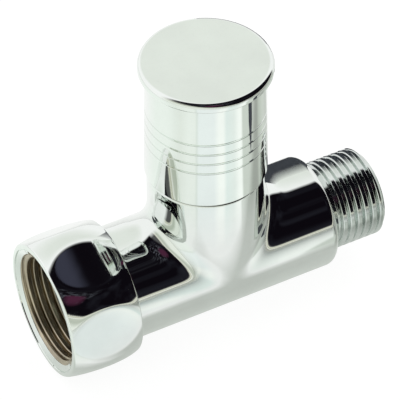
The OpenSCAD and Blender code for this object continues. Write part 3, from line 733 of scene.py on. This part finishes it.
def body_bores(branch_angles):
    """Inlet, passage, seat hole, chamber, headwork bore and outlet as one inner skin."""
    run_angles = np.linspace(-math.pi, math.pi, END_STEPS, endpoint=False)
    fine = np.linspace(0, 2 * math.pi, BORE_STEPS, endpoint=False) + BORE_TURN
    axis = np.array([HANDLE_X, 0, 0])
    low = np.array([0, 0, PASSAGE_Z])
    inlet_x = TAIL_END + INLET_BORE_LEAD
    outlet_x = OUTLET_END - OUTLET_BORE_LEAD
    top_z = BRANCH_TOP - HEAD_BORE_LEAD

    def along_run(x0, x1, radius, angles, shift=0):
        return drill(round_run(x0, radius, angles) + shift, round_run(x1, radius, angles) + shift)

    def along_branch(z0, z1, radius, angles):
        return drill(round_branch(z0, radius, angles) + axis, round_branch(z1, radius, angles) + axis)

    elbow = bpy.data.meshes.new("elbow")
    work = bmesh.new()
    bmesh.ops.create_uvsphere(work, u_segments=48, v_segments=24, radius=PASSAGE_R,
                              matrix=Matrix.Translation((HANDLE_X, 0, PASSAGE_Z)))
    work.to_mesh(elbow)
    work.free()
    tools = [
        along_run(inlet_x, INLET_STOP, WATERWAY_R, run_angles),
        along_run(INLET_STOP - PASSAGE_R, HANDLE_X, PASSAGE_R, fine, low),
        elbow,
        along_branch(PASSAGE_Z, SEAT_Z + 1, SEAT_HOLE_R, fine),
        along_branch(SEAT_Z, HEAD_BORE_Z + 1, CHAMBER_R, fine),
        along_branch(HEAD_BORE_Z, top_z, HEAD_BORE_R, branch_angles),
        along_run(OUTLET_START, outlet_x, WATERWAY_R, run_angles),
    ]
    holders = []
    for mesh in tools:
        holder = bpy.data.objects.new("drill", mesh)
        bpy.context.scene.collection.objects.link(holder)
        holders.append(holder)
    for holder in holders[1:]:
        union = holders[0].modifiers.new("union", "BOOLEAN")
        union.operation = "UNION"
        union.solver = "EXACT"
        union.object = holder
    bpy.context.view_layer.update()
    whole = holders[0].evaluated_get(bpy.context.evaluated_depsgraph_get())
    result = bpy.data.meshes.new_from_object(whole)
    for holder in holders:
        bpy.data.objects.remove(holder)
    points = np.array([v.co for v in result.vertices])
    rims = [np.abs(points[:, k] - place) < 1e-3 for k, place in ((0, inlet_x), (0, outlet_x), (2, top_z))]
    faces = []
    for polygon in result.polygons:
        ring = list(polygon.vertices)
        if not any(rim[ring].all() for rim in rims):
            faces.append(ring[::-1])
    return points, np.zeros_like(points), faces


skin_parts, branch_angles = body_skin()
body_mesh = welded_mesh("body_casting", skin_parts + [body_bores(branch_angles)], sharp=SHARP_DEGREES)
body_casting = shown("body_casting", body_mesh, body_chrome)
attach(body_casting, "valve")
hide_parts("valve_body")

outlet_thread = thread_piece(
    "outlet_thread", OUTLET_ROOT_R, THREAD_H, OUTLET_PITCH, (SHOULDER_X + 0.4, OUTLET_END - 0.2),
    (SHOULDER_X + 0.7, OUTLET_END - 0.2), (0.9, 1.1), OUTLET_ROOT_R - 0.5, satin_thread)
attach(outlet_thread, "valve")
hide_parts("valve_body")


# Union nut

CROWN_STEPS = 44
NUT_COLUMNS = 330
THREAD_FRONT = NUT_FRONT + NUT_MOUTH_LEAD
NUT_MIDDLE = (NUT_FRONT + NUT_REAR) / 2
NUT_HALF = (NUT_REAR - NUT_FRONT) / 2


def crown(t):
    """Radius of the nut's crowned barrel, with t from -1 at its front face to 1 at its rear face."""
    end_r = NUT_FACE_R if t < 0 else NUT_REAR_R
    return NUT_BARREL_R - (NUT_BARREL_R - end_r) * t * t


def nut_blank():
    """Turned blank of the nut: crowned barrel, rolled rim, mouth chamfer and the thread sleeve's seat."""
    corners = [(NUT_FRONT, NUT_SEAM_R), (NUT_FRONT, crown(-1), NUT_EDGE)]
    corners += [(NUT_MIDDLE + NUT_HALF * t, crown(t)) for t in np.linspace(-1, 1, CROWN_STEPS + 1)[2:-2]]
    corners += [
        (NUT_REAR, crown(1), NUT_EDGE), (NUT_REAR, NUT_BORE_R, ROUND_EDGE),
        (NUT_LIP_X, NUT_BORE_R, SOFT_EDGE), (NUT_LIP_X, NUT_SLEEVE_R, FINE_EDGE),
        (THREAD_FRONT + 0.03, NUT_SLEEVE_R, 0.03), (THREAD_FRONT + 0.03, NUT_MAJOR_R - 0.02, 0.03),
        (THREAD_FRONT - 0.05, NUT_MAJOR_R + 0.02, 0.03), (NUT_FRONT + 0.17, NUT_MOUTH_R - 0.31, MOUTH_EDGE),
        (NUT_FRONT + MOUTH_LINE_X, NUT_MOUTH_R - 0.22, MOUTH_EDGE),
        (NUT_FRONT + MOUTH_LINE_X, NUT_MOUTH_R - 0.06, MOUTH_EDGE),
        (NUT_FRONT, NUT_MOUTH_R + 0.04, MOUTH_EDGE), (NUT_FRONT, NUT_SEAM_R),
    ]
    profile = turned_profile(corners, longest=0.34, arc_step=8)
    angles = math.radians(NUT_FLAT_ANGLE + 30) + np.linspace(0, 2 * math.pi, NUT_COLUMNS, endpoint=False)
    points, normals = lathe(profile, angles, round_run)
    return welded_mesh("nut_blank", [(points, normals, grid_faces(len(profile), NUT_COLUMNS, closed=True))])


nut_sizes = {
    "Flats": NUT_FLATS * MM, "Flat Angle": math.radians(NUT_FLAT_ANGLE), "Edge": NUT_EDGE * MM,
    "Middle": NUT_MIDDLE * MM, "Half Length": NUT_HALF * MM, "Dome": NUT_DOME * MM,
}
nut_mesh = grown("nut_hexagon", nut_blank(), hexagon_tree(), nut_sizes, nut_chrome)
nut_hexagon = shown("nut_hexagon", pointing_out(nut_mesh), nut_chrome)
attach(nut_hexagon, "nut")
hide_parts("union_nut")

nut_thread = thread_piece(
    "nut_thread", NUT_MAJOR_R, -THREAD_H, PITCH, (THREAD_FRONT + 0.06, NUT_LIP_X - 0.06),
    (THREAD_FRONT + 0.1, NUT_THREAD_END), (1.5, 1.4), NUT_SLEEVE_BACK_R, golden_thread)
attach(nut_thread, "nut")
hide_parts("union_nut")


# Handle and cap

def handle_wall(z):
    """Radius of the handle's tapered wall at a height."""
    return HANDLE_R + (HANDLE_TOP_R - HANDLE_R) * (z - HANDLE_Z) / (HANDLE_TOP - HANDLE_Z)


handle_corners = [(HANDLE_Z, HANDLE_FOOT_R), (HANDLE_Z, HANDLE_R, HANDLE_EDGE)]
for groove_z in GROOVE_Z:
    wall_r = handle_wall(groove_z)
    lip, floor = GROOVE_W / 2, GROOVE_W / 8
    handle_corners += [
        (groove_z - lip, wall_r, GROOVE_LIP), (groove_z - floor, wall_r - GROOVE_DEPTH, GROOVE_FLOOR_ROUND),
        (groove_z + floor, wall_r - GROOVE_DEPTH, GROOVE_FLOOR_ROUND), (groove_z + lip, wall_r, GROOVE_LIP),
    ]
handle_corners += [
    (HANDLE_TOP, HANDLE_TOP_R, 0.25), (HANDLE_TOP, RECESS_R, SOFT_EDGE), (RECESS_Z, RECESS_R, ROUND_EDGE),
    (RECESS_Z, SCREW_HOLE_R, FINE_EDGE), (WEB_Z, SCREW_HOLE_R, FINE_EDGE), (WEB_Z, BUSH_HOLE_R, FINE_EDGE),
    (HUB_Z, BUSH_HOLE_R, SOFT_EDGE), (HUB_Z, HUB_R, ROUND_EDGE), (WEB_Z, HUB_R, 0.6),
    (WEB_Z, SKIRT_TOP_R, 1.0), (HANDLE_Z, SKIRT_R, SOFT_EDGE), (HANDLE_Z, HANDLE_FOOT_R),
]
handle_shell = handle_piece("handle_shell", handle_corners, handle_chrome, longest=1.5)
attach(handle_shell, "handle_group")
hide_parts("handle")

cap_corners = [
    (CAP_INNER_Z, 0.0), (CAP_INNER_Z, CAP_INNER_R, ROUND_EDGE), (CAP_SKIRT_Z, CAP_INNER_R, SOFT_EDGE),
    (CAP_SKIRT_Z, CAP_SKIRT_R, 0.25), (HANDLE_TOP, CAP_SKIRT_R, FINE_EDGE), (HANDLE_TOP, CAP_R, CAP_EDGE),
    (CAP_TOP, CAP_R, CAP_ROUND), (CAP_TOP, 0.0),
]
cap_disc = handle_piece("cap_disc", cap_corners, handle_chrome, longest=1.2)
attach(cap_disc, "handle_group")
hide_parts("handle_cap")


# Floor, studio and camera

def ray_kinds(tree):
    """Light Path sockets for what the camera, mirrors and glass see."""
    path = tree.nodes.new("ShaderNodeLightPath").outputs
    return path["Is Camera Ray"], path["Is Glossy Ray"], path["Is Transmission Ray"]


def toned(tree, value, tones):
    """Colour ramp from (position, colour) stops."""
    ramp = tree.nodes.new("ShaderNodeValToRGB")
    stops = ramp.color_ramp.elements
    for stop, (position, colour) in zip(stops, (tones[0], tones[-1])):
        stop.position = position
        stop.color = (*colour, 1)
    for position, colour in tones[1:-1]:
        stops.new(position).color = (*colour, 1)
    tree.links.new(value, ramp.inputs["Fac"])
    return ramp.outputs["Color"]


def mixed(tree, share, first, second):
    """Mix of two colours, each a socket or a fixed colour."""
    mix = tree.nodes.new("ShaderNodeMix")
    mix.data_type = "RGBA"
    tree.links.new(share, mix.inputs["Factor"])
    for socket, colour in ((mix.inputs["A"], first), (mix.inputs["B"], second)):
        if isinstance(colour, bpy.types.NodeSocket):
            tree.links.new(colour, socket)
        else:
            socket.default_value = colour
    return mix.outputs["Result"]


WHITE = (1.0, 1.0, 1.0)
GREEN_WHITE = (0.90, 0.97, 0.91)
PALE_GREEN = (0.84, 0.90, 0.83)
MIST_GREEN = (0.93, 0.99, 0.93)
MOSS_GREEN = (0.76, 0.84, 0.78)
ICE_GREEN = (0.86, 0.98, 0.95)
BLUE_WHITE = (0.93, 1.0, 1.0)
BRIGHT = (1.12, 1.16, 1.12)
GREY_GREEN = (0.60, 0.66, 0.59)
DULL_GREEN = (0.44, 0.47, 0.42)
STONE = (0.50, 0.525, 0.49)

# Painted reflection and shade on the floor, seen only in the chrome: tones by bearing round the handle, from
# the inlet's side all the way round, some brighter than white as painted highlights
PAINTED_REFLECTION_BANDS = (
    (0.0, GREEN_WHITE), (0.05, PALE_GREEN), (0.09, MIST_GREEN), (0.122, (0.92, 0.98, 0.92)),
    (0.13, MOSS_GREEN), (0.138, BLUE_WHITE), (0.21, BLUE_WHITE), (0.235, BRIGHT), (0.255, BRIGHT),
    (0.272, ICE_GREEN), (0.31, (0.90, 0.98, 0.94)), (0.335, BRIGHT), (0.350, BRIGHT), (0.358, GREY_GREEN),
    (0.385, GREY_GREEN), (0.43, DULL_GREEN), (0.455, DULL_GREEN), (0.47, (0.78, 0.84, 0.76)),
    (0.6, WHITE), (0.8, WHITE), (0.9, GREEN_WHITE), (1.0, GREEN_WHITE),
)

# Painted shadow on the floor beside and under the run, seen only in the chrome: tones by distance from the
# run's axis
RUN_SHADOW_TONES = (
    (0.0, (0.66, 0.69, 0.65)), (0.25, (0.60, 0.63, 0.59)), (0.5, STONE), (0.70, STONE),
    (0.92, WHITE), (1.0, WHITE),
)
RUN_SHADOW_REACH = 0.044

FLOOR_PAINT = (0.88, 0.89, 0.875, 1)
FLOOR_REACH = 3.0
FLOOR_GAP = 0.0001

# Share and strength of the floor's glow, as the camera and as mirrors see it; mirrors see it in the painted
# reflection and shadow tones
CAMERA_GLOW = (0.8, 1.1)
MIRROR_GLOW = (0.7, 1.08)

# Where the floor's painted reflection bands and painted shadow start and are full: millimetres round the
# handle, then metres
PAINTED_BANDS_START = (42, 58)
RUN_SHADOW_EDGE = (0.018, 0.024)
INLET_SHADOW_FADE = (-0.07, -0.05)
BRANCH_SHADOW_FADE = (-0.036, -0.022)
VARNISH_ROUGHNESS = 0.12
VARNISH_IOR = 1.6


def object_axes(tree):
    """The three object coordinates of a material."""
    return axes(tree, tree.nodes.new("ShaderNodeTexCoord").outputs["Object"])


def painted_floor_reflection(tree):
    """Colour of the floor in the chrome, all painted: reflection and shade bands by bearing, and a painted
    shadow beside and under the run.
    """
    across, y, _ = object_axes(tree)
    x = counted(tree, "SUBTRACT", across, HANDLE_X * MM)
    bearing = counted(tree, "DEGREES", counted(tree, "ARCTAN2", y, x))
    away = counted(tree, "DIVIDE", away_from(tree, x, y), MM)
    # Painted reflection and shade bands by bearing, faded in away from the handle
    bands = toned(tree, ranged(tree, bearing, -180, 180, 0, 1), PAINTED_REFLECTION_BANDS)
    near = mixed(tree, ranged(tree, away, *PAINTED_BANDS_START, 0, 1), (*WHITE, 1), bands)
    # Painted shadow on the floor beside and under the run, as the chrome sees it
    aside = counted(tree, "ABSOLUTE", y)
    inlet_side = ranged(tree, x, *INLET_SHADOW_FADE, 0, 1)
    under = counted(tree, "MULTIPLY", ranged(tree, aside, *RUN_SHADOW_EDGE, 1, 0), inlet_side)
    beside = counted(tree, "MAXIMUM", under, ranged(tree, x, *BRANCH_SHADOW_FADE, 0, 1))
    painted_run_shadow = toned(tree, ranged(tree, aside, 0, RUN_SHADOW_REACH, 0, 1), RUN_SHADOW_TONES)
    both = tree.nodes.new("ShaderNodeMix")
    both.data_type = "RGBA"
    both.blend_type = "MULTIPLY"
    both.inputs["Factor"].default_value = 1
    tree.links.new(near, both.inputs["A"])
    tree.links.new(mixed(tree, beside, (*WHITE, 1), painted_run_shadow), both.inputs["B"])
    return both.outputs["Result"]


def blended(tree, share, first, second):
    """Mix of two shaders."""
    node = tree.nodes.new("ShaderNodeMixShader")
    for value, socket in zip((share, first, second), node.inputs):
        tree.links.new(value, socket)
    return node.outputs[0]


def pale_floor():
    """Pale floor that reads white to the camera and keeps the soft shadow under the valve."""
    level = float(cad_lo[2]) - FLOOR_GAP
    corners = [(x * FLOOR_REACH, y * FLOOR_REACH, level) for x, y in ((-1, -1), (1, -1), (1, 1), (-1, 1))]
    mesh = bpy.data.meshes.new("floor")
    mesh.from_pydata(corners, [], [(0, 1, 2, 3)])
    material = bpy.data.materials.new("floor_paint")
    material.use_nodes = True
    tree = material.node_tree
    tree.nodes.clear()
    paint = tree.nodes.new("ShaderNodeBsdfDiffuse")
    paint.inputs["Color"].default_value = FLOOR_PAINT
    camera, glossy, through = ray_kinds(tree)
    seen = counted(tree, "MAXIMUM", glossy, through)
    share, strength = (
        counted(tree, "ADD", counted(tree, "MULTIPLY", camera, a), counted(tree, "MULTIPLY", seen, b))
        for a, b in zip(CAMERA_GLOW, MIRROR_GLOW))
    glow = tree.nodes.new("ShaderNodeEmission")
    tree.links.new(strength, glow.inputs["Strength"])
    # Mirrors see the glow in the painted reflection and shadow tones, the camera sees it white
    tree.links.new(mixed(tree, camera, painted_floor_reflection(tree), (*WHITE, 1)), glow.inputs["Color"])
    varnish = tree.nodes.new("ShaderNodeBsdfGlossy")
    varnish.inputs["Roughness"].default_value = VARNISH_ROUGHNESS
    sheen = tree.nodes.new("ShaderNodeFresnel")
    sheen.inputs["IOR"].default_value = VARNISH_IOR
    lit = blended(tree, share, paint.outputs[0], glow.outputs[0])
    coated = blended(tree, counted(tree, "MULTIPLY", sheen.outputs[0], seen), lit, varnish.outputs[0])
    out = tree.nodes.new("ShaderNodeOutputMaterial")
    tree.links.new(coated, out.inputs["Surface"])
    shown("floor", mesh, material)


# Tones of the sky below the hanging's hem, from its lowest to the hem
FOOT_TONES = (
    (0.0, (0.86, 0.89, 0.82)), (0.45, (0.52, 0.56, 0.48)), (0.72, (0.58, 0.61, 0.53)),
    (0.80, (0.92, 0.92, 0.87)), (0.855, (0.46, 0.46, 0.34)), (0.91, (0.84, 0.83, 0.72)),
    (0.96, (0.30, 0.30, 0.27)), (1.0, (0.10, 0.10, 0.10)),
)
FOOT_DEPTH = 0.35
CARD_BLACK = (0.05, 0.055, 0.07, 1)
CARD_ROUGHNESS = 0.9
CARD_LIFT = 0.1


def painted_dark_reflection(name, corners, low, high):
    """Black card beside the valve that only its chrome sees, a painted dark reflection thinning out from one
    height to another.
    """
    mesh = bpy.data.meshes.new(name)
    mesh.from_pydata((np.array(corners) * MM).tolist(), [], [tuple(range(len(corners)))])
    material = bpy.data.materials.new(name + "_board")
    material.use_nodes = True
    tree = material.node_tree
    shader = tree.nodes["Principled BSDF"]
    shader.inputs["Base Color"].default_value = CARD_BLACK
    shader.inputs["Roughness"].default_value = CARD_ROUGHNESS
    tree.links.new(ranged(tree, object_axes(tree)["Z"], low * MM, high * MM, 1, 0), shader.inputs["Alpha"])
    card = shown(name, mesh, material)
    card.visible_camera = False
    card.visible_diffuse = False
    card.visible_shadow = False


def round_handle(*places):
    """Corners on the floor from (distance, bearing in degrees) round the handle's axis."""
    level = float(cad_lo[2]) / MM + CARD_LIFT
    turned = [(r, math.radians(b)) for r, b in places]
    return [(HANDLE_X + r * math.cos(b), r * math.sin(b), level) for r, b in turned]


GREY_BEHIND = (0.83, 0.86, 0.815, 1.0)
CREASE_LIGHT = (0.12, 0.125, 0.15, 1.0)
SLATE_CLOTH = (0.042, 0.043, 0.065, 1.0)
PLUM_CLOTH = (0.07, 0.018, 0.042, 1.0)
CLOTH_BLACK = (0.004, 0.003, 0.005)
CLOTH_FOLD = (0.015, 0.015, 0.021)

# The hanging's edges as parts of a direction's X, Y and Z; its hem falls from 0.62 on the left to 0.07
HEM_FALL = (-0.6, 0.34, 0.62, 0.07)
HEM_BLUR = (-0.012, 0.02)
BACK_BLUR = (0.10, 0.18)
LEFT_BLUR = (-0.62, -0.5)
FRONT_TO_BACK = (-0.05, 0.2)

# Soft patches of the sky: bearing, height and radius in degrees
BEHIND_PATCH = (164, 44, 34)
CREASE_PATCH = (-8, 62, 24)
SLATE_PATCH = (107, 76, 2.6)
PLUM_PATCH = (-14, 50, 13)
PATCH_CORE = 0.4


def facing(tree, direction, bearing, height, width):
    """Soft round patch of the sky, from its bearing, height and radius in degrees."""
    bearing, height = math.radians(bearing), math.radians(height)
    node = tree.nodes.new("ShaderNodeVectorMath")
    node.operation = "DOT_PRODUCT"
    node.inputs[1].default_value = (
        math.sin(bearing) * math.cos(height), -math.cos(bearing) * math.cos(height), math.sin(height))
    tree.links.new(direction, node.inputs[0])
    edge, core = math.cos(math.radians(width)), math.cos(math.radians(width * PATCH_CORE))
    return ranged(tree, node.outputs["Value"], edge, core, 0, 1)


def studio_world():
    """White studio with a soft-edged black hanging over the front and right, and pale lines at its foot."""
    world = bpy.data.worlds.new("studio")
    bpy.context.scene.world = world
    world.use_nodes = True
    tree = world.node_tree
    tree.nodes.clear()
    direction = tree.nodes.new("ShaderNodeTexCoord").outputs["Generated"]
    x, y, z = axes(tree, direction)
    above = counted(tree, "SUBTRACT", z, ranged(tree, x, *HEM_FALL))
    cover = ranged(tree, above, *HEM_BLUR, 0, 1)
    cover = counted(tree, "MULTIPLY", cover, ranged(tree, y, *BACK_BLUR, 1, 0))
    cover = counted(tree, "MULTIPLY", cover, ranged(tree, x, *LEFT_BLUR, 0, 1))
    foot = toned(tree, ranged(tree, above, -FOOT_DEPTH, 0, 0, 1), FOOT_TONES)
    behind = mixed(tree, facing(tree, direction, *BEHIND_PATCH), (*WHITE, 1), GREY_BEHIND)
    studio = mixed(tree, ranged(tree, y, *FRONT_TO_BACK, 1, 0), behind, foot)
    folds = noise(tree, direction, 3.0, detail=2)
    cloth = tinted(tree, ranged(tree, folds, 0.5, 0.75, 0, 1), CLOTH_BLACK, CLOTH_FOLD)
    creases = noise(tree, direction, 9.0, detail=3, roughness=0.6, stretch=(1.0, 2.6, 1.0))
    creased = ranged(tree, creases, 0.5, 0.68, 0, 1)
    creased = counted(tree, "MULTIPLY", creased, facing(tree, direction, *CREASE_PATCH))
    cloth = mixed(tree, creased, cloth, CREASE_LIGHT)
    cloth = mixed(tree, facing(tree, direction, *SLATE_PATCH), cloth, SLATE_CLOTH)
    cloth = mixed(tree, facing(tree, direction, *PLUM_PATCH), cloth, PLUM_CLOTH)
    studio = mixed(tree, cover, studio, cloth)
    path = tree.nodes.new("ShaderNodeLightPath").outputs
    plain = counted(tree, "MAXIMUM", path["Is Camera Ray"], path["Is Diffuse Ray"])
    background = tree.nodes.new("ShaderNodeBackground")
    background.inputs["Strength"].default_value = 1.0
    tree.links.new(mixed(tree, plain, studio, (*WHITE, 1)), background.inputs["Color"])
    out = tree.nodes.new("ShaderNodeOutputWorld")
    tree.links.new(background.outputs[0], out.inputs["Surface"])


# Camera fitted to the photograph's outlines, in degrees, millimetres and pixels
AZIMUTH = -28.19
ELEVATION = 44.0
DISTANCE = 616.26
FOCAL_PIXELS = 2698.81
AXIS_PIXEL = (205.42, 249.34)
PICTURE = 400
SENSOR = 36


def photo_camera():
    """Camera at the photograph's angle, placed so that the handle's axis meets the run at its pixel."""
    azimuth, elevation = math.radians(AZIMUTH), math.radians(ELEVATION)
    level = math.cos(elevation)
    back = Vector((math.sin(azimuth) * level, -math.cos(azimuth) * level, math.sin(elevation)))
    right = Vector((math.cos(azimuth), math.sin(azimuth), 0))
    up = back.cross(right)
    scale = DISTANCE / FOCAL_PIXELS
    place = Vector((HANDLE_X, 0, 0)) + back * DISTANCE
    place += -right * (AXIS_PIXEL[0] - PICTURE / 2) * scale + up * (AXIS_PIXEL[1] - PICTURE / 2) * scale
    data = bpy.data.cameras.new("photo_camera")
    data.sensor_width = SENSOR
    data.lens = FOCAL_PIXELS / PICTURE * SENSOR
    data.clip_start = 0.01
    camera = bpy.data.objects.new("photo_camera", data)
    turned = Matrix((right, up, back)).transposed().to_4x4()
    camera.matrix_world = Matrix.Translation(place * MM) @ turned
    bpy.context.scene.collection.objects.link(camera)
    bpy.context.scene.camera = camera


# Cards that only the chrome sees, painted dark reflections: corners as distance and bearing round the
# handle, and as places, both in millimetres
STREAK_REFLECTION_CORNERS = ((74, -33.5), (86, -37.5), (150, -39), (150, -28.0), (86, -29.5))
BOARD_REFLECTION_CORNERS = ((60, 60, -17), (110, 50, -17), (110, 50, 90), (60, 60, 90))

pale_floor()
painted_dark_reflection("painted_reflection_streak", round_handle(*STREAK_REFLECTION_CORNERS), 0, 1)
painted_dark_reflection("painted_reflection_board", BOARD_REFLECTION_CORNERS, 34, 78)
studio_world()
photo_camera()
bpy.context.scene.view_settings.view_transform = "Standard"
